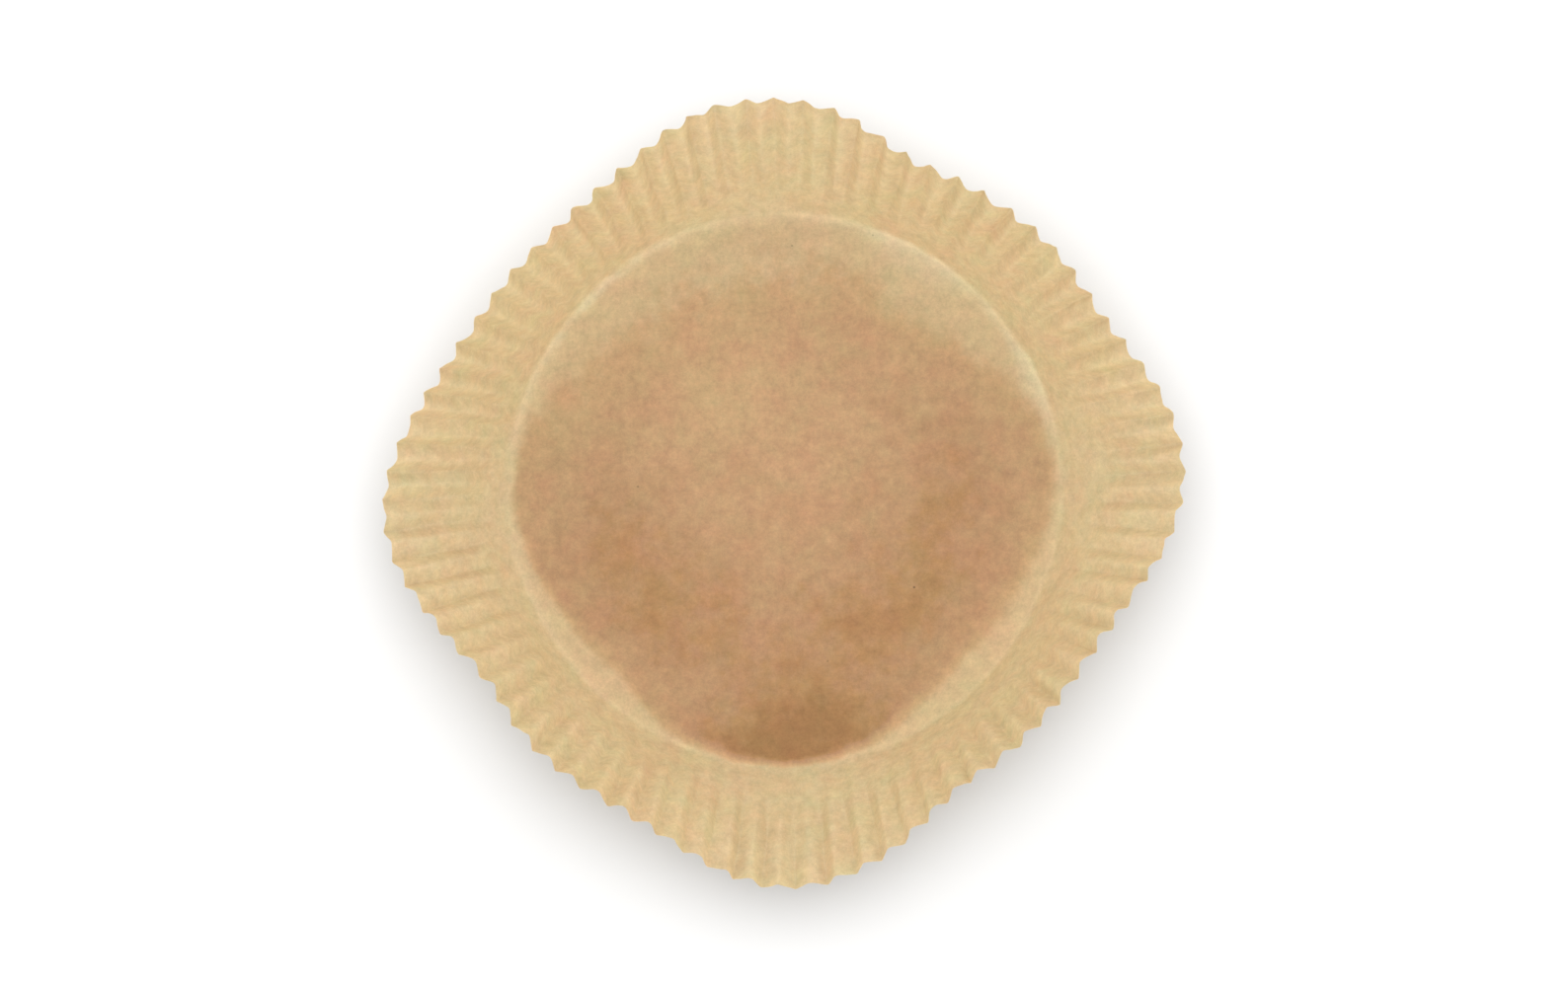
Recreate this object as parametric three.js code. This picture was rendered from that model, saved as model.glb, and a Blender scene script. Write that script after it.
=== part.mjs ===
import * as THREE from "three";

// Air fryer paper liner: one disc of brown baking paper, pressed into a shallow round dish.
// Its base stays flat, and the rest of the disc is gathered into a ring of pleats that leans
// outwards and has been pulled to four soft corners. Millimetres, +Z up. The origin is the
// centre of the base's underside, and the corners lie close to the X and Y axes.

// The sheet
const paperThickness = 0.06;
const baseDiameter = 160;
const wallLength = 45; // from the base crease to the rim, along the paper

// The four soft corners, right, top, left and bottom: which way each points, and how far the wall
// leans out from upright there
const corners = [
  { directionDegrees: 0.4, leanDegrees: 46.5 },
  { directionDegrees: 91.8, leanDegrees: 42 },
  { directionDegrees: 180.3, leanDegrees: 47 },
  { directionDegrees: 267.5, leanDegrees: 45.3 },
];
const cornerSharpness = 2.36; // higher keeps the pull nearer to the corner

// The lean halfway between them: upper right, upper left, lower left and lower right
const sideLeanDegrees = [26, 22.7, 26, 21.1];
const wallCurlDegrees = 12; // how much further out the rim leans than the foot of the wall

// The pleats
const pleatCount = 80;
const crestShare = 0.06; // part of a pleat's width that its sharp outer fold takes
const valleyShare = 0.24; // and its rounded inner fold

// The rows of folds up the wall, closer together near the crease, where the pleats open fastest
const wallRows = 5;
const rowCrowding = 1.8;
const rimSteps = 1440; // how finely the rim is measured to space the pleats along it

const baseRadius = baseDiameter / 2;
const fullTurn = 2 * Math.PI;
const { degToRad, euclideanModulo, lerp, smoothstep } = THREE.MathUtils;

function fromRing(values, index) {
  return values[euclideanModulo(index, values.length)];
}

// Where a direction falls among the corners: 0 on the first, 1 on the second, and so on
function cornerPlace(angle) {
  const starts = corners.map(({ directionDegrees }) => degToRad(directionDegrees));
  const turned = euclideanModulo(angle - starts[0], fullTurn) + starts[0];
  const passed = starts.findLastIndex((start) => start <= turned);
  const end = passed + 1 < starts.length ? starts[passed + 1] : starts[0] + fullTurn;
  return passed + (turned - starts[passed]) / (end - starts[passed]);
}

// The lean at one direction from the centre: it drifts from side to side, and rises at each corner
function leanAt(angle) {
  const place = cornerPlace(angle);
  const corner = fromRing(corners, Math.round(place)).leanDegrees;
  const pastSide = place - 1 / 2;
  const sideBefore = Math.floor(pastSide);
  const from = fromRing(sideLeanDegrees, sideBefore);
  const to = fromRing(sideLeanDegrees, sideBefore + 1);
  const side = lerp(from, to, smoothstep(pastSide - sideBefore, 0, 1));
  const pull = ((1 + Math.cos(fullTurn * place)) / 2) ** cornerSharpness;
  return degToRad(lerp(side, corner, pull));
}

// How far out and up the paper is at one share of the way from crease to rim.
// The wall's section is a shallow arc that keeps the paper's length.
function wallSection(lean, climb) {
  const curl = degToRad(wallCurlDegrees);
  const halfTurn = (curl * climb) / 2;
  const straightness = halfTurn > 0 ? Math.sin(halfTurn) / halfTurn : 1;
  const chord = wallLength * climb * straightness;
  const chordLean = lean - curl / 2 + halfTurn;
  return { out: chord * Math.sin(chordLean), up: chord * Math.cos(chordLean) };
}

// The rim as a curve without its pleats, so that they can be spaced evenly along it
class RimCurve extends THREE.Curve {
  getPoint(turn, point = new THREE.Vector3()) {
    const angle = fullTurn * turn;
    const { out, up } = wallSection(leanAt(angle), 1);
    const reach = baseRadius + out;
    return point.set(reach * Math.cos(angle), reach * Math.sin(angle), up);
  }
}

const rim = new RimCurve();
rim.arcLengthDivisions = rimSteps;

// A point of the wall without its pleats. The paper's straight lines start evenly round the
// base and end evenly along the rim.
function smoothWall(turn, climb) {
  const wholeTurns = Math.floor(turn);
  const rimTurn = wholeTurns + rim.getUtoTmapping(turn - wholeTurns);
  const angle = fullTurn * lerp(turn, rimTurn, climb);
  const { out, up } = wallSection(leanAt(fullTurn * rimTurn), climb);
  const reach = baseRadius + out;
  return new THREE.Vector3(reach * Math.cos(angle), reach * Math.sin(angle), up);
}

// How deep a pleat is: the paper that a level holds over what it needs goes into the folds
function pleatDepth(turn, climb, along) {
  const flatWidth = (fullTurn * (baseRadius + wallLength * climb)) / pleatCount;
  const width = along.length() / pleatCount;
  return Math.sqrt(Math.max(flatWidth ** 2 - width ** 2, 0)) / 2;
}

// A point of the pleated wall, with fold 1 on a crest and -1 at the bottom of a valley
function pleatedWall(turn, climb, fold) {
  const step = 1e-4;
  const point = smoothWall(turn, climb);
  const along = smoothWall(turn + step, climb).sub(smoothWall(turn - step, climb));
  along.divideScalar(2 * step);
  const upward = smoothWall(turn, climb + step).sub(point);
  const outward = new THREE.Vector3().crossVectors(along, upward).normalize();
  return point.addScaledVector(outward, (fold * pleatDepth(turn, climb, along)) / 2);
}

// One pleat across: a sharp outer crest, straight flanks and a rounded valley
const pleatFolds = [
  { across: -crestShare / 2, fold: 1 },
  { across: crestShare / 2, fold: 1 },
  { across: 1 / 2 - valleyShare / 2, fold: valleyShare - 1 },
  { across: 1 / 2, fold: -1 },
  { across: 1 / 2 + valleyShare / 2, fold: valleyShare - 1 },
];

// The underside of the sheet: the base's centre, then the rows of the wall from crease to rim
function sheetPoints() {
  const points = [new THREE.Vector3(0, 0, 0)];
  for (let row = 0; row <= wallRows; row++) {
    const climb = (row / wallRows) ** rowCrowding;
    for (let pleat = 0; pleat < pleatCount; pleat++) {
      for (const { across, fold } of pleatFolds) {
        points.push(pleatedWall((pleat + across) / pleatCount, climb, fold));
      }
    }
  }
  return points;
}

// The triangles of the underside, facing down and out
function sheetFaces(columns) {
  const faces = [];
  for (let column = 0; column < columns; column++) {
    const next = (column + 1) % columns;
    faces.push([0, 1 + next, 1 + column]);
    for (let row = 0; row < wallRows; row++) {
      const lower = 1 + row * columns;
      const upper = lower + columns;
      faces.push([lower + column, lower + next, upper + next]);
      faces.push([lower + column, upper + next, upper + column]);
    }
  }
  return faces;
}

function surface(points, faces) {
  const geometry = new THREE.BufferGeometry().setFromPoints(points);
  geometry.setIndex(faces.flat());
  return geometry;
}

// The upper face of the sheet lies one thickness inside the lower one
function offsetPoints(points, faces) {
  const skin = surface(points, faces);
  skin.computeVertexNormals();
  const normals = skin.getAttribute("normal");
  return points.map((point, i) => {
    const inward = new THREE.Vector3().fromBufferAttribute(normals, i).negate();
    return point.clone().addScaledVector(inward, paperThickness);
  });
}

function paperLiner() {
  const underside = sheetPoints();
  const columns = pleatCount * pleatFolds.length;
  const lowerFaces = sheetFaces(columns);
  const topside = offsetPoints(underside, lowerFaces);
  const lift = underside.length;
  const upperFaces = lowerFaces.map(([a, b, c]) => [a + lift, c + lift, b + lift]);
  const edgeFaces = [];
  const rimStart = 1 + wallRows * columns;
  for (let column = 0; column < columns; column++) {
    const here = rimStart + column;
    const next = rimStart + ((column + 1) % columns);
    edgeFaces.push([here, next, next + lift]);
    edgeFaces.push([here, next + lift, here + lift]);
  }
  return surface([...underside, ...topside], [...lowerFaces, ...upperFaces, ...edgeFaces]);
}

const bakingPaper = new THREE.MeshStandardMaterial({
  color: 0xd8bb8d,
  roughness: 0.72,
  metalness: 0,
});

const liner = new THREE.Mesh(paperLiner(), bakingPaper);
liner.name = "paper_liner";

const airFryerLiner = new THREE.Group();
airFryerLiner.add(liner);

export default airFryerLiner;
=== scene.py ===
import random
from math import atan2, cos, degrees, exp, floor, hypot, radians, sin, sqrt, tau

import bpy
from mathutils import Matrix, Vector, noise


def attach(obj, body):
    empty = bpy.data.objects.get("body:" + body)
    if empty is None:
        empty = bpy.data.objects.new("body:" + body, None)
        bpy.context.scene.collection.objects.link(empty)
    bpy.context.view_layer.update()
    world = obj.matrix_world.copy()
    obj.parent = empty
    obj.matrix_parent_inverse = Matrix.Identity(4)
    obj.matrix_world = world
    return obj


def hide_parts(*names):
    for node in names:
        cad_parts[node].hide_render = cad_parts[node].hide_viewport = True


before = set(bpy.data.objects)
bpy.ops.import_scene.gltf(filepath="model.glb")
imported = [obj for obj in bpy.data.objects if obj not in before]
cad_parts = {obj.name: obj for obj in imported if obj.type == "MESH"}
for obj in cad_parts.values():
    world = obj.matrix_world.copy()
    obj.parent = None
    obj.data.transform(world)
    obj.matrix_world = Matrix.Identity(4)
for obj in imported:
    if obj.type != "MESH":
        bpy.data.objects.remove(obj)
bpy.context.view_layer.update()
bpy.ops.object.select_all(action="DESELECT")
print("frame loaded")

# The liner: one disc of baking paper, laid out flat first and then folded (metres and degrees)
liner = {
    "cadNode": "paper_liner",
    "baseRadius": 0.080,
    "wallLength": 0.045,  # crease to rim, along the paper
    "thickness": 0.00006,
    "pleats": 80,
    "firstPleat": -0.36,  # where the first crest is, in pleat widths
    "pleatDrift": 0.19,  # how far the pleats have slipped round the rim, and where most
    "driftPlace": 345.0,
    "cornerLean": [46.5, 42.1, 47.0, 45.3],  # right, top, left, bottom; from upright
    "cornerPlace": [0.4, 91.8, 180.3, 267.5],  # the direction that each corner points in
    "sideLean": [26.0, 22.7, 26.0, 21.1],  # between them, from the upper right
    "cornerSharpness": 2.36,
    "wallCurl": 12.0,
    "crestRound": 0.05,  # shares of a pleat's width
    "valleyRound": 0.15,
    "creaseRound": 0.0021,  # how softly the base turns into the wall
    "pleatWander": 0.07,  # how unevenly the folds run, in pleat widths
    "pleatWaver": 0.09,  # and how much they wave on their way up
    "depthSpread": 0.14,
    "rimRipple": 0.0002,
    "pleatStart": (0.28, 0.68),  # share of the wall over which the pleats deepen from nothing
    "startPlace": 140.0,  # the direction where that is shortest
    "wallSway": 0.8,  # slow changes of the lean, in degrees
    # where the slow patterns are read from the noise: how finely, and at which height in it
    "swayNoise": (2.2, 5.0),
    "cockleNoise": (28, 2.0),
    "rippleNoise": (90, 9.0),
    "waverNoise": (40, 6),  # round the wall, and up it
    # where the wall has been pushed out or in: direction, degrees of lean, width in degrees
    "bulges": [
        (38, 2.0, 10), (65, -2.6, 7), (79, 1.3, 5), (92, -0.8, 4), (131, -1.1, 8), (155, 1.1, 7),
        (171, -0.7, 5), (210, -2.4, 6), (228, 0.5, 6), (284, 1.0, 5), (298, -1.4, 6),
    ],
    "baseLift": 0.0005,  # how far the base stands off the floor where it has cockled
    "cockleMargin": 0.012,  # next to the crease, where it lies down again
    "columnsPerPleat": 12,
    "columnCrowding": 0.04,  # how far the columns draw together at the folds
    "wallRows": 22,
    "rowCrowding": 1.7,
    "baseRings": [
        0.9997, 0.9994, 0.999, 0.998, 0.995, 0.99, 0.98, 0.96,
        0.93, 0.87, 0.78, 0.66, 0.5, 0.32, 0.14, 0.03,
    ],
    "smoothAngle": 60,
    "seed": 7,
}

tiny = 1e-6
millimetres = 1000  # in a metre


def ringGrid(name, columns, radii, innerRadii):
    # A circle, spread outwards and inwards ring by ring into a flat disc
    bpy.ops.mesh.primitive_circle_add(vertices=columns, radius=radii[0])
    disc = bpy.context.active_object
    disc.name = disc.data.name = name
    bpy.ops.object.mode_set(mode="EDIT")
    bpy.ops.mesh.select_all(action="SELECT")
    spreadRings(radii)
    bpy.ops.mesh.select_all(action="DESELECT")
    selectRing(disc, radii[0])
    spreadRings([radii[0]] + innerRadii)
    bpy.ops.mesh.extrude_region()
    bpy.ops.mesh.merge(type="CENTER")
    bpy.ops.mesh.select_all(action="SELECT")
    bpy.ops.mesh.normals_make_consistent(inside=False)
    bpy.ops.object.mode_set(mode="OBJECT")
    if disc.data.polygons[0].normal.z < 0:
        disc.data.flip_normals()
    return disc


def spreadRings(radii):
    for before, after in zip(radii, radii[1:]):
        scale = after / before
        bpy.ops.mesh.extrude_region()
        bpy.ops.transform.resize(value=(scale, scale, 1))


def selectRing(disc, radius):
    bpy.ops.mesh.select_mode(type="VERT")
    bpy.ops.object.mode_set(mode="OBJECT")
    for vertex in disc.data.vertices:
        vertex.select = abs(hypot(vertex.co.x, vertex.co.y) - radius) < tiny
    bpy.ops.object.mode_set(mode="EDIT")


def pleatShift(turn):
    # How far the folds stand from their even places, in pleat widths
    drift = cos(tau * turn - radians(liner["driftPlace"]))
    return liner["firstPleat"] + liner["pleatDrift"] * drift


def crowdColumns(disc):
    # More columns at the folds than on the flanks between them
    for vertex in disc.data.vertices:
        reach = hypot(vertex.co.x, vertex.co.y)
        turn = atan2(vertex.co.y, vertex.co.x) / tau
        phase = turn * liner["pleats"]
        phase += pleatShift(turn) - liner["columnCrowding"] * sin(2 * tau * phase)
        angle = phase / liner["pleats"] * tau
        vertex.co = (reach * cos(angle), reach * sin(angle), 0)


def keepFlatPlaces(disc):
    # The UV map is the sheet laid out flat, so the paper's grain follows its folds
    blank = 2 * (liner["baseRadius"] + liner["wallLength"])
    flat = disc.data.uv_layers.new(name="flatSheet")
    for loop in disc.data.loops:
        place = disc.data.vertices[loop.vertex_index].co
        flat.data[loop.index].uv = (0.5 + place.x / blank, 0.5 + place.y / blank)


def blend(a, b, share):
    return a + (b - a) * share


def ease(share):
    return share * share * (3 - 2 * share)


def slowNoise(kind, x, y):
    # One of the liner's slow patterns, between -1 and 1
    fineness, height = liner[kind]
    return noise.noise(Vector((x * fineness, y * fineness, height)))


def leanAt(angle):
    # Degrees from upright: it drifts from side to side, and rises at each pulled corner
    places = [radians(place) for place in liner["cornerPlace"]]
    count = len(places)
    places.append(places[0] + tau)
    angle = (angle - places[0]) % tau + places[0]
    corner = max(i for i in range(count) if angle >= places[i])
    quarter = corner + (angle - places[corner]) / (places[corner + 1] - places[corner])
    side = floor(quarter - 0.5)
    before, after = liner["sideLean"][side % count], liner["sideLean"][(side + 1) % count]
    sideLean = blend(before, after, ease(quarter - 0.5 - side))
    pull = ((1 + cos(tau * quarter)) / 2) ** liner["cornerSharpness"]
    sway = liner["wallSway"] * slowNoise("swayNoise", cos(angle), sin(angle))
    for place, push, width in liner["bulges"]:
        apart = (degrees(angle) - place + 180) % 360 - 180
        sway += push * exp(-((apart / width) ** 2))
    return blend(sideLean, liner["cornerLean"][round(quarter) % count], pull) + sway


def pleatStartAt(turn):
    # Away from the start place the pleats deepen over more of the wall
    shortest, longest = liner["pleatStart"]
    nearness = (1 + cos(tau * turn - radians(liner["startPlace"]))) / 2
    return blend(longest, shortest, nearness)


def wallSection(lean, slant):
    # How far out and up the paper is, at a distance from the crease; negative is inside the base
    soft = liner["creaseRound"]
    climbing = (slant + sqrt(slant * slant + soft * soft)) / 2
    flat = slant - climbing
    curl = radians(liner["wallCurl"])
    turned = curl * climbing / liner["wallLength"] / 2
    chord = climbing * sin(turned) / turned
    chordLean = radians(lean) - curl / 2 + turned
    return flat + chord * sin(chordLean), chord * cos(chordLean)


def evenRim():
    # Angles that divide the rim into equal lengths, one for each share of the way round
    steps = 1440
    points = []
    for i in range(steps + 1):
        angle = tau * i / steps
        out, up = wallSection(leanAt(angle), liner["wallLength"])
        reach = liner["baseRadius"] + out
        points.append(Vector((reach * cos(angle), reach * sin(angle), up)))
    lengths = [0]
    for before, after in zip(points, points[1:]):
        lengths.append(lengths[-1] + (after - before).length)
    return [length / lengths[-1] for length in lengths]


rimShares = evenRim()


def rimAngle(turn):
    # The direction of the rim at a share of its length
    whole = floor(turn)
    low, high = 0, len(rimShares) - 1
    while high - low > 1:
        middle = (low + high) // 2
        if rimShares[middle] <= turn - whole:
            low = middle
        else:
            high = middle
    part = (turn - whole - rimShares[low]) / (rimShares[high] - rimShares[low])
    return tau * (whole + (low + part) / (len(rimShares) - 1))


def smoothWall(turn, slant):
    rim = rimAngle(turn)
    climb = max(slant / liner["wallLength"], 0)
    angle = blend(tau * turn, rim, climb)
    out, up = wallSection(leanAt(rim), slant)
    reach = liner["baseRadius"] + out
    return Vector((reach * cos(angle), reach * sin(angle), up))


def foldWave(phase):
    # 1 on the sharp outer crest and -1 at the bottom of the rounder valley
    away = abs(phase - round(phase))
    crest, valley = liner["crestRound"], liner["valleyRound"]
    slope = 2 / (0.5 - (crest + valley) / 2)
    if away < crest:
        return 1 - slope * away * away / (2 * crest)
    if away > 0.5 - valley:
        return -1 + slope * (0.5 - away) ** 2 / (2 * valley)
    return 1 - slope * (away - crest / 2)


dice = random.Random(liner["seed"])
wander = [dice.uniform(-1, 1) for i in range(2 * liner["pleats"])]
depths = [dice.uniform(-1, 1) for i in range(liner["pleats"])]


def foldAt(turn, climb):
    # Each crest and valley strays a little from its even place, more so towards the rim
    pleat = turn * liner["pleats"] - pleatShift(turn)
    folds = 2 * pleat
    whole = floor(folds)
    here = wander[whole % len(wander)]
    there = wander[(whole + 1) % len(wander)]
    stray = liner["pleatWander"] * blend(here, there, ease(folds - whole)) * climb
    across, upward = liner["waverNoise"]
    place = Vector((across * cos(tau * turn), across * sin(tau * turn), upward * climb))
    stray += liner["pleatWaver"] * noise.noise(place)
    wave = foldWave(folds / 2 + stray)
    first = floor(pleat)
    here, there = depths[first % len(depths)], depths[(first + 1) % len(depths)]
    change = blend(here, there, ease(pleat - first))
    return wave * (1 + liner["depthSpread"] * change)


def foldedPlace(flat):
    # Where a point of the flat sheet ends up in the finished dish
    reach = hypot(flat.x, flat.y)
    slant = reach - liner["baseRadius"]
    turn = atan2(flat.y, flat.x) / tau
    if reach < tiny:
        return Vector((0, 0, liner["baseLift"] / 2))
    point = smoothWall(turn, slant)
    if slant <= 0:
        cockle = 0.5 + 0.5 * slowNoise("cockleNoise", flat.x, flat.y)
        point.z += liner["baseLift"] * cockle * min(-slant / liner["cockleMargin"], 1)
        return point
    climb = slant / liner["wallLength"]
    turnStep, slantStep = 1e-4, 1e-5
    along = (smoothWall(turn + turnStep, slant) - smoothWall(turn - turnStep, slant)) / (2 * turnStep)
    upward = smoothWall(turn, slant + slantStep) - smoothWall(turn, slant)
    outward = along.cross(upward).normalized()
    flatWidth = tau * reach / liner["pleats"]
    width = along.length / liner["pleats"]
    depth = sqrt(max(flatWidth ** 2 - width ** 2, 0)) / 2
    depth *= ease(min(climb / pleatStartAt(turn), 1))
    point += outward * (foldAt(turn, climb) * depth / 2)
    ripple = slowNoise("rippleNoise", flat.x, flat.y)
    return point + upward.normalized() * (liner["rimRipple"] * ripple * climb)


def makeLiner():
    rows = liner["wallRows"]
    climbs = [(row / rows) ** liner["rowCrowding"] for row in range(rows + 1)]
    radii = [liner["baseRadius"] + liner["wallLength"] * climb for climb in climbs]
    inner = [liner["baseRadius"] * share for share in liner["baseRings"]]
    sheet = ringGrid("paperLiner", liner["pleats"] * liner["columnsPerPleat"], radii, inner)
    crowdColumns(sheet)
    keepFlatPlaces(sheet)
    for vertex in sheet.data.vertices:
        vertex.co = foldedPlace(vertex.co)
    print("sheet folded:", len(sheet.data.vertices), "points")
    thicken = sheet.modifiers.new("paper thickness", "SOLIDIFY")
    thicken.thickness = liner["thickness"]
    thicken.offset = 1
    thicken.use_even_offset = False
    bpy.ops.object.modifier_apply(modifier=thicken.name)
    lowest = min(vertex.co.z for vertex in sheet.data.vertices)
    for vertex in sheet.data.vertices:
        vertex.co.z -= lowest
    bpy.ops.object.shade_smooth_by_angle(angle=radians(liner["smoothAngle"]))
    return sheet


def linear(red, green, blue):
    # A colour as it looks, 0 to 255, in the linear values that shaders take
    def one(value):
        value /= 255
        return value / 12.92 if value <= 0.04045 else ((value + 0.055) / 1.055) ** 2.4
    return (one(red), one(green), one(blue), 1)


# The paper's finish: colours as they look, sizes in millimetres on the flat sheet
paper = {
    "slot": "baking_paper",
    "plain": (204, 184, 142),
    "warm": (203, 178, 134),
    # the pale colour is a painted highlight on the crease, with the paper rubbed pale
    "pale": (217, 199, 158),
    "basePlain": (214, 188, 144),  # the base outside the painted shade
    # the base painted in shade where it lies on the floor and no light comes through, from the
    # lightest to the darkest: how deep the painted shade, colour
    "shadeBrowns": [
        (0.30, (202, 166, 121)), (0.50, (196, 157, 115)), (0.70, (188, 146, 105)),
        (0.85, (181, 138, 90)), (1.00, (168, 124, 76)),
    ],
    "middleShade": 0.55,
    "shadeSlope": -0.0028,  # the painted shade is deeper towards the front
    "edgeShade": -0.2,  # and a little lighter near its edge, where light gets in under the lifted paper
    "edgeBand": (48.0, 72.0),  # starting and complete this far from the middle
    "cloudShade": 0.5,  # how much the clouds and the mottle change the painted shade
    "mottleShade": 0.36,
    "mottleSpread": 1.7,  # the painted shade's mottle is this much coarser
    "fullShade": 0.34,  # from here on nothing of the plain paper shows
    "edgeSpread": 1.3,  # the painted shade's edge fades over this many times its softness, each way
    # how an edge and a patch of painted shade stray: size of the waves and how far
    "edgeStray": (6.0, 3.0),
    "shadePatchStray": (14.0, 16.0),
    "toneShares": (0.7, 0.8),  # clouds and mottle in the plain paper's tone
    "toneRange": (0.5, 1.0),
    "wallTone": (-1.0, 1.5),  # where the base's tone goes over to the wall's, from the crease
    "highlightWearPlace": -0.5,  # the pale line on the crease, a painted highlight on the fold with the paper rubbed pale: its place from the crease, and where it fades
    "highlightWearWidth": (0.5, 3.3),
    "highlightWearPatches": (0.11, 0.3, 0.56),  # fineness, and where a patch starts and is full
    "cloudSize": 15.0,
    "mottleSize": 2.8,
    "grainSize": 0.6,
    "lightness": 0.84,  # how strongly the pulp varies in lightness, and between pink and green
    "hue": 0.38,
    "lightPulp": (90.0, 4.5, 0.95),  # how far off each is read, its size and its roughness
    "huePulp": (40.0, 9.0, 0.6),
    "hueShares": (-0.45, 0.45, 0.05),
    "glow": 0.16,  # how much of the light goes through
    "roughness": 0.62,
    "bumpStrength": 0.4,
    "bumpDepth": 0.0002,  # metres
    "grainBump": 0.5,  # the fine grain's share beside the mottle
}

# Round the crease: direction, how far out the painted shade on the base reaches, how softly it ends,
# and how much the crease is painted pale, a painted highlight on the fold with the paper rubbed pale
shadeEdge = [
    (-180, 78.7, 2.0, 0.1), (-165, 75.3, 2.2, 0.3), (-150, 72.0, 3.0, 0.2), (-135, 71.0, 3.0, 0.0),
    (-120, 76.3, 2.8, 0.0), (-105, 78.6, 2.3, 0.0), (-90, 79.6, 2.0, 0.0), (-75, 77.0, 2.6, 0.0),
    (-60, 71.6, 3.5, 0.0), (-45, 70.0, 3.6, 0.0), (-30, 72.4, 4.5, 0.0), (-15, 75.0, 4.5, 0.0),
    (0, 79.2, 3.0, 0.2), (15, 76.0, 3.0, 0.3), (30, 70.0, 7.0, 0.7), (45, 65.0, 7.0, 0.5),
    (60, 66.0, 5.5, 0.9), (75, 73.0, 7.0, 0.3), (90, 77.5, 4.5, 0.1), (105, 76.0, 5.0, 0.3),
    (120, 73.0, 7.0, 0.8), (135, 70.0, 7.0, 0.9), (150, 72.0, 6.0, 0.6), (165, 77.5, 2.2, 0.2),
]

# Where the painted shade on the base is deeper, or lighter: place, size across and along the ring,
# how much
shadePatches = [
    {"place": (-1, -74), "size": (26, 46), "paintedLight": 0.50},
    {"place": (52, -1), "size": (38, 50), "paintedLight": 0.19},
    {"place": (-58, -8), "size": (34, 44), "paintedLight": 0.14},
    {"place": (-40, -28), "size": (34, 44), "paintedLight": 0.13},
    {"place": (26, -42), "size": (36, 44), "paintedLight": 0.17},
    {"place": (-18, -32), "size": (34, 34), "paintedLight": 0.06},
    {"place": (-18, 30), "size": (26, 30), "paintedLight": -0.12},
    {"place": (14, 36), "size": (22, 34), "paintedLight": 0.05},
    {"place": (-20, 62), "size": (22, 60), "paintedLight": -0.10},
]

# Pale places beside the crease: painted highlight where the fold catches the light, with the paper
# rubbed pale
highlightsAndRubs = [
    {"place": (42, 64), "size": (7, 26), "paintedLight": 0.8},
    {"place": (73, 29), "size": (5, 18), "paintedLight": 0.9},
]

# Dark specks in the pulp: place, radius, how dark
specks = [
    ((-42.2, 3.4), 0.5, 0.5), ((35.9, -30.2), 0.5, 0.7), ((9.7, -50.1), 0.5, 0.4),
    ((29.8, 72.4), 0.4, 0.4), ((6.2, 70.4), 0.4, 0.4), ((73.0, 3.4), 1.7, 0.14),
]


class NodeDesk:
    # Short ways to add and join shader nodes

    def __init__(self, owner):
        self.nodes = owner.node_tree.nodes
        self.links = owner.node_tree.links

    def add(self, kind, **settings):
        node = self.nodes.new(kind)
        for name, value in settings.items():
            setattr(node, name, value)
        return node

    def feed(self, socket, value):
        if isinstance(value, bpy.types.NodeSocket):
            self.links.new(value, socket)
        else:
            socket.default_value = value

    def math(self, operation, *values):
        node = self.add("ShaderNodeMath", operation=operation)
        for socket, value in zip(node.inputs, values):
            self.feed(socket, value)
        return node.outputs[0]

    def step(self, value, low, high):
        node = self.add("ShaderNodeMapRange", interpolation_type="SMOOTHSTEP")
        self.feed(node.inputs["Value"], value)
        self.feed(node.inputs["From Min"], low)
        self.feed(node.inputs["From Max"], high)
        return node.outputs["Result"]

    def noise(self, place, scale, detail=3.0, roughness=0.55):
        node = self.add("ShaderNodeTexNoise", noise_dimensions="3D")
        self.feed(node.inputs["Vector"], place)
        self.feed(node.inputs["Scale"], scale)
        self.feed(node.inputs["Detail"], detail)
        self.feed(node.inputs["Roughness"], roughness)
        return node.outputs["Fac"]

    def mix(self, share, first, second):
        node = self.add("ShaderNodeMix", data_type="RGBA")
        self.feed(node.inputs[0], share)
        self.feed(node.inputs[6], first)
        self.feed(node.inputs[7], second)
        return node.outputs[2]

    def shifted(self, place, far):
        # The pattern read far from its origin, where its coarse and fine parts would line up
        move = self.add("ShaderNodeVectorMath", operation="ADD")
        self.feed(move.inputs[0], place)
        self.feed(move.inputs[1], (far, far, far))
        return move.outputs[0]

    def ramp(self, value, stops):
        # Each stop is a position and a linear colour
        node = self.add("ShaderNodeValToRGB")
        elements = node.color_ramp.elements
        elements.remove(elements[1])
        for i, (position, color) in enumerate(stops):
            stop = elements[0] if i == 0 else elements.new(position)
            stop.position = position
            stop.color = color
        self.feed(node.inputs[0], value)
        return node.outputs[0]

    def spot(self, place, mark):
        # An oval that lies along the ring and fades outwards
        x, y = mark["place"]
        oval = self.add("ShaderNodeMapping", vector_type="TEXTURE")
        self.feed(oval.inputs["Vector"], place)
        self.feed(oval.inputs["Location"], (x, y, 0))
        self.feed(oval.inputs["Rotation"], (0, 0, atan2(y, x)))
        across, along = mark["size"]
        self.feed(oval.inputs["Scale"], (across, along, 1))
        away = self.add("ShaderNodeVectorMath", operation="LENGTH")
        self.feed(away.inputs[0], oval.outputs[0])
        return self.math("SUBTRACT", 1.0, self.step(away.outputs["Value"], 0.1, 1.0))


def flatPlace(desk):
    # Millimetres from the middle of the sheet, laid out flat
    blank = 2 * millimetres * (liner["baseRadius"] + liner["wallLength"])
    flat = desk.add("ShaderNodeUVMap", uv_map="flatSheet")
    shift = desk.add("ShaderNodeVectorMath", operation="MULTIPLY_ADD")
    desk.feed(shift.inputs[0], flat.outputs[0])
    desk.feed(shift.inputs[1], (blank, blank, 0))
    desk.feed(shift.inputs[2], (-blank / 2, -blank / 2, 0))
    return shift.outputs[0]


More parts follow.
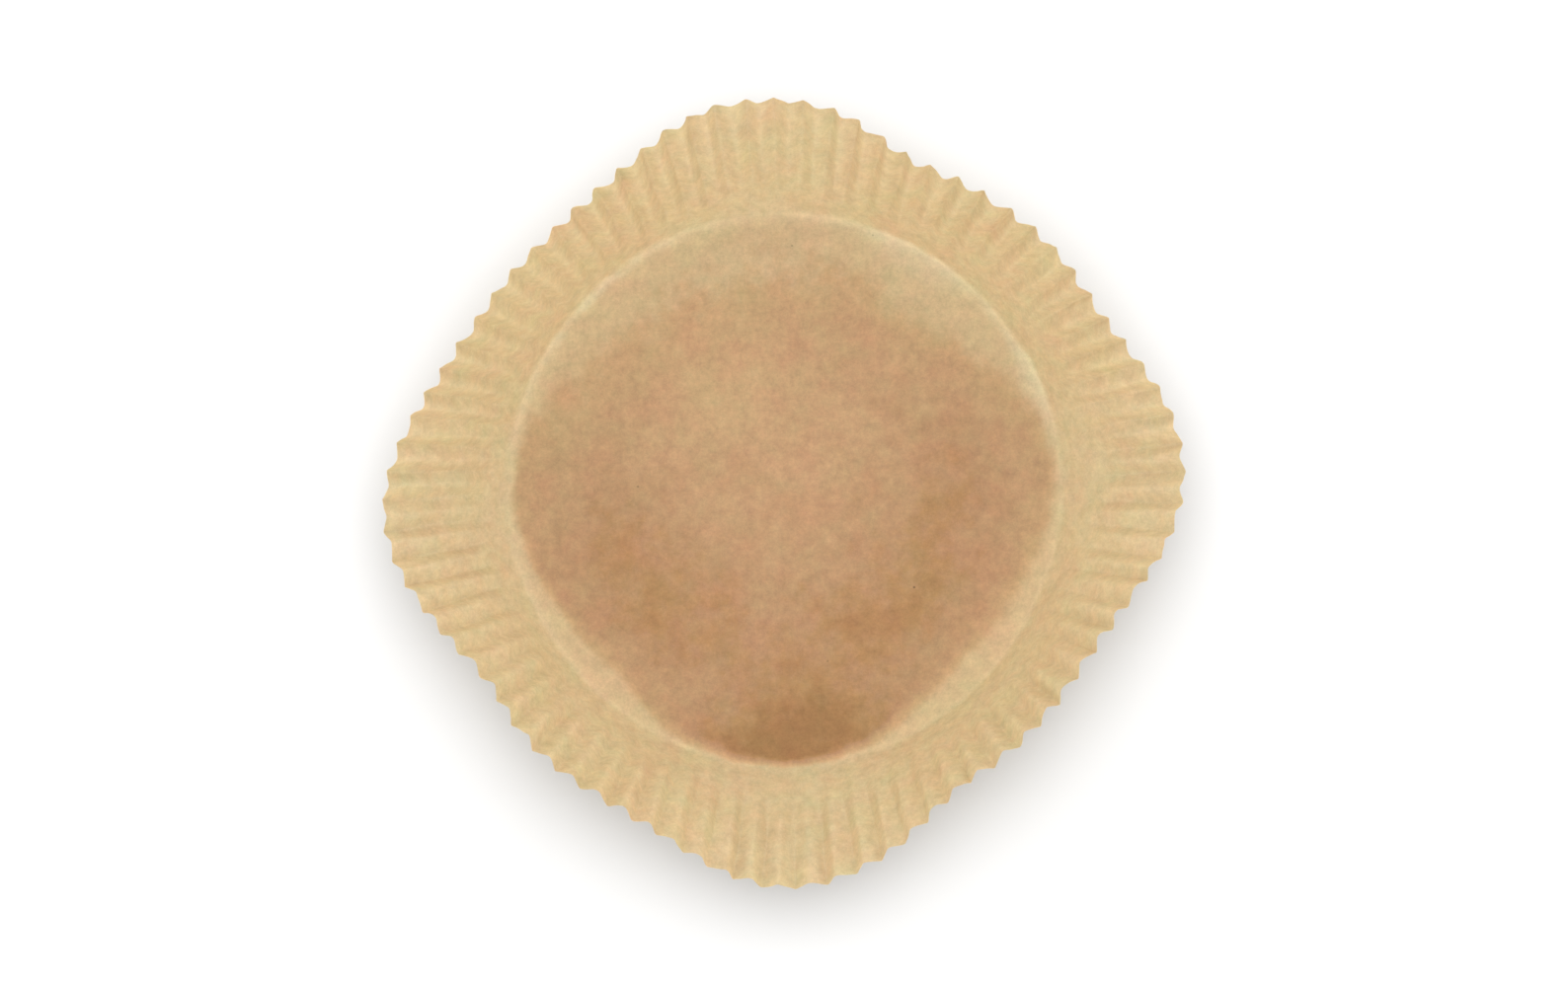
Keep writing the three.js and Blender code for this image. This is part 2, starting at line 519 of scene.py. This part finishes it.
def strayed(desk, place, stray):
    # The place pushed about by a noise, so that edges and spots come out uneven
    size, far = stray
    push = desk.add("ShaderNodeTexNoise", noise_dimensions="3D")
    desk.feed(push.inputs["Vector"], place)
    desk.feed(push.inputs["Scale"], 1 / size)
    desk.feed(push.inputs["Detail"], 3.0)
    moved = desk.add("ShaderNodeVectorMath", operation="MULTIPLY_ADD")
    desk.feed(moved.inputs[0], push.outputs["Color"])
    desk.feed(moved.inputs[1], (far, far, 0))
    shift = desk.add("ShaderNodeVectorMath", operation="ADD")
    desk.feed(moved.inputs[2], (-far / 2, -far / 2, 0))
    desk.feed(shift.inputs[0], place)
    desk.feed(shift.inputs[1], moved.outputs[0])
    return shift.outputs[0]


def floorShade(desk, place, reach, edge):
    # How deep the painted shade on the base is, from 0 to 1: darker where it lies on the floor and no
    # light comes through
    axes = desk.add("ShaderNodeSeparateXYZ")
    desk.feed(axes.inputs[0], place)
    paintedLight = desk.math("MULTIPLY_ADD", axes.outputs[1], paper["shadeSlope"], paper["middleShade"])
    paintedLight = desk.math("MULTIPLY_ADD", desk.step(reach, *paper["edgeBand"]), paper["edgeShade"], paintedLight)
    uneven = strayed(desk, place, paper["shadePatchStray"])
    for mark in shadePatches:
        paintedLight = desk.math("MULTIPLY_ADD", desk.spot(uneven, mark), mark["paintedLight"], paintedLight)
    clouds = desk.noise(place, 1 / paper["cloudSize"], 3, 0.6)
    mottle = desk.noise(place, 1 / paper["mottleSize"] / paper["mottleSpread"], 4, 0.65)
    for pattern, strength in ((clouds, paper["cloudShade"]), (mottle, paper["mottleShade"])):
        paintedLight = desk.math("ADD", paintedLight, desk.math("MULTIPLY_ADD", pattern, strength, -strength / 2))
    return desk.math("MULTIPLY", paintedLight, edge)


def pulp(desk, place, color):
    # Fine unevenness: lighter and darker, greener and pinker, with a few specks
    far, size, roughness = paper["lightPulp"]
    light = desk.noise(desk.shifted(place, far), 1 / size, 4, roughness)
    far, size, roughness = paper["huePulp"]
    hue = desk.noise(desk.shifted(place, far), 1 / size, 4, roughness)
    light = desk.math("MULTIPLY_ADD", light, paper["lightness"], 1 - paper["lightness"] / 2)
    for centre, radius, dark in specks:
        near = desk.spot(place, {"place": centre, "size": (radius, radius)})
        light = desk.math("MULTIPLY_ADD", near, -dark, light)
    hue = desk.math("MULTIPLY_ADD", hue, paper["hue"], -paper["hue"] / 2)
    tint = desk.add("ShaderNodeCombineColor")
    for socket, share in zip(tint.inputs, paper["hueShares"]):
        desk.feed(socket, desk.math("MULTIPLY_ADD", hue, share, light))
    tinted = desk.add("ShaderNodeMix", data_type="RGBA", blend_type="MULTIPLY")
    desk.feed(tinted.inputs[0], 1.0)
    desk.feed(tinted.inputs[6], color)
    desk.feed(tinted.inputs[7], tint.outputs[0])
    return tinted.outputs[2]


def makePaper():
    material = bpy.data.materials.new("bakingPaper")
    material.use_nodes = True
    desk = NodeDesk(material)
    desk.nodes.clear()
    place = flatPlace(desk)
    uneven = strayed(desk, place, paper["edgeStray"])
    reach = desk.add("ShaderNodeVectorMath", operation="LENGTH")
    desk.feed(reach.inputs[0], uneven)
    axes = desk.add("ShaderNodeSeparateXYZ")
    desk.feed(axes.inputs[0], uneven)
    turn = desk.math("ARCTAN2", axes.outputs[1], axes.outputs[0])
    turn = desk.math("MULTIPLY_ADD", turn, 1 / tau, 0.5)
    # a ramp's colour holds values up to 1, which stands for this many millimetres
    full = 100
    stops = []
    for direction, out, soft, highlightAndRub in shadeEdge + [(180,) + shadeEdge[0][1:]]:
        stops.append((direction / 360 + 0.5, (out / full, soft / full, highlightAndRub, 1)))
    edgeFacts = desk.add("ShaderNodeSeparateColor")
    desk.feed(edgeFacts.inputs[0], desk.ramp(turn, stops))
    out = desk.math("MULTIPLY", edgeFacts.outputs[0], full)
    soft = desk.math("MULTIPLY", edgeFacts.outputs[1], full)
    inside = desk.math("SUBTRACT", out, reach.outputs["Value"])
    low = desk.math("MULTIPLY", soft, -paper["edgeSpread"])
    high = desk.math("MULTIPLY", soft, paper["edgeSpread"])
    edge = desk.step(inside, low, high)
    paintedLight = floorShade(desk, place, reach.outputs["Value"], edge)
    # plain paper, mottled between a cooler and a warmer tone, and lighter on the base
    mottle = desk.noise(place, 1 / paper["mottleSize"], 4, 0.5)
    clouds = desk.noise(place, 1 / paper["cloudSize"], 3, 0.6)
    grain = desk.noise(place, 1 / paper["grainSize"], 3, 0.6)
    cloudShare, mottleShare = paper["toneShares"]
    tone = desk.math("MULTIPLY_ADD", clouds, cloudShare, desk.math("MULTIPLY", mottle, mottleShare))
    warmth = desk.step(tone, *paper["toneRange"])
    plain = desk.mix(warmth, linear(*paper["plain"]), linear(*paper["warm"]))
    crease = millimetres * liner["baseRadius"]
    onWall = desk.step(reach.outputs["Value"], *(crease + beside for beside in paper["wallTone"]))
    plain = desk.mix(onWall, linear(*paper["basePlain"]), plain)
    # the base painted darker and browner where it lies on the floor: painted shade
    shadeBrowns = [(position, linear(*color)) for position, color in paper["shadeBrowns"]]
    color = desk.mix(desk.step(paintedLight, 0.0, paper["fullShade"]), plain, desk.ramp(paintedLight, shadeBrowns))
    # painted pale on the crease and in a few places beside it: a painted highlight on the fold, with
    # the paper rubbed pale
    beside = desk.math("SUBTRACT", reach.outputs["Value"], crease + paper["highlightWearPlace"])
    faded = desk.step(desk.math("ABSOLUTE", beside), *paper["highlightWearWidth"])
    highlightAndWear = desk.math("MULTIPLY", desk.math("SUBTRACT", 1.0, faded), edgeFacts.outputs[2])
    fineness, patchStart, patchFull = paper["highlightWearPatches"]
    patches = desk.step(desk.noise(place, fineness, 2), patchStart, patchFull)
    highlightAndWear = desk.math("MULTIPLY", highlightAndWear, patches)
    for paleSpot in highlightsAndRubs:
        highlightAndWear = desk.math("MULTIPLY_ADD", desk.spot(uneven, paleSpot), paleSpot["paintedLight"], highlightAndWear)
    color = desk.mix(desk.math("MINIMUM", highlightAndWear, 1.0), color, linear(*paper["pale"]))
    color = pulp(desk, place, color)
    shader = desk.add("ShaderNodeBsdfPrincipled")
    desk.feed(shader.inputs["Base Color"], color)
    desk.feed(shader.inputs["Roughness"], paper["roughness"])
    bump = desk.add("ShaderNodeBump")
    desk.feed(bump.inputs["Strength"], paper["bumpStrength"])
    desk.feed(bump.inputs["Distance"], paper["bumpDepth"])
    desk.feed(bump.inputs["Height"], desk.math("MULTIPLY_ADD", grain, paper["grainBump"], mottle))
    desk.feed(shader.inputs["Normal"], bump.outputs[0])
    through = desk.add("ShaderNodeBsdfTranslucent")
    desk.feed(through.inputs["Color"], color)
    both = desk.add("ShaderNodeMixShader")
    desk.feed(both.inputs[0], paper["glow"])
    desk.feed(both.inputs[1], shader.outputs[0])
    desk.feed(both.inputs[2], through.outputs[0])
    result = desk.add("ShaderNodeOutputMaterial")
    desk.feed(result.inputs[0], both.outputs[0])
    return material


sheet = makeLiner()
sheet.data.materials.append(makePaper())
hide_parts(liner["cadNode"])
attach(sheet, "root")
print("liner made:", len(sheet.data.polygons), "faces")

# The studio: a white floor, a ring of bright panels low round the room, and three soft lamps
studio = {
    "floorSize": 1.8,
    "floorColor": (176, 176, 176),
    "floorRoughness": 0.9,
    "roomStrength": 4.3,
    # the sine of the height above the horizon, and the share of the strength there
    "roomBands": [(0.0, 0.24), (0.10, 0.24), (0.28, 1.0), (0.46, 0.42), (0.75, 0.10)],
    "cameraHeight": 1.2,
    "cameraAside": (-0.0001, -0.0010),
    "cameraRoll": -3.245,
    "viewWidth": 0.45307,  # how much of the floor the picture shows
    "sensor": 36.0,
}

# The lamps, placed in degrees from upright and degrees round
lamps = {
    "key": {"power": 46.0, "size": 1.6, "away": 1.6, "fromUpright": 11.0, "direction": 90.0},
    "front": {"power": 5.4, "size": 0.6, "away": 1.3, "fromUpright": 18.0, "direction": 280.0},
    "back": {"power": 1.6, "size": 0.6, "away": 1.3, "fromUpright": 60.0, "direction": 90.0},
}


def makeFloor():
    bpy.ops.mesh.primitive_plane_add(size=studio["floorSize"])
    floorPlane = bpy.context.active_object
    floorPlane.name = "floor"
    white = bpy.data.materials.new("whiteFloor")
    white.use_nodes = True
    shader = white.node_tree.nodes["Principled BSDF"]
    shader.inputs["Base Color"].default_value = linear(*studio["floorColor"])
    shader.inputs["Roughness"].default_value = studio["floorRoughness"]
    floorPlane.data.materials.append(white)
    return floorPlane


def makeRoom():
    # The room's brightness depends only on how far one looks up
    world = bpy.data.worlds.new("brightRoom")
    bpy.context.scene.world = world
    world.use_nodes = True
    desk = NodeDesk(world)
    axes = desk.add("ShaderNodeSeparateXYZ")
    desk.feed(axes.inputs[0], desk.add("ShaderNodeTexCoord").outputs["Generated"])
    bands = [(height, (share, share, share, 1)) for height, share in studio["roomBands"]]
    background = desk.nodes["Background"]
    desk.feed(background.inputs["Color"], desk.ramp(axes.outputs[2], bands))
    desk.feed(background.inputs["Strength"], studio["roomStrength"])


def softLight(name, only):
    # A round lamp aimed at the liner, which lights only the object given
    make = lamps[name]
    tilt, turn = radians(make["fromUpright"]), radians(make["direction"])
    away = Vector((sin(tilt) * cos(turn), sin(tilt) * sin(turn), cos(tilt)))
    facing = away.to_track_quat("Z", "Y").to_euler()
    bpy.ops.object.light_add(type="AREA", location=make["away"] * away, rotation=facing)
    lamp = bpy.context.active_object
    lamp.name = name
    lamp.data.shape = "DISK"
    lamp.data.size = make["size"]
    lamp.data.energy = make["power"]
    lit = bpy.data.collections.new(name + "Lights")
    lit.objects.link(only)
    lamp.light_linking.receiver_collection = lit


def makeCamera():
    roll = radians(studio["cameraRoll"])
    aside, ahead = studio["cameraAside"]
    x = aside * cos(roll) - ahead * sin(roll)
    y = aside * sin(roll) + ahead * cos(roll)
    bpy.ops.object.camera_add(location=(x, y, studio["cameraHeight"]), rotation=(0, 0, roll))
    camera = bpy.context.active_object
    camera.data.sensor_width = studio["sensor"]
    camera.data.lens = studio["sensor"] * studio["cameraHeight"] / studio["viewWidth"]
    bpy.context.scene.camera = camera


makeRoom()
softLight("key", makeFloor())
softLight("front", sheet)
softLight("back", sheet)
makeCamera()
bpy.context.scene.view_settings.view_transform = "Standard"
print("studio ready")
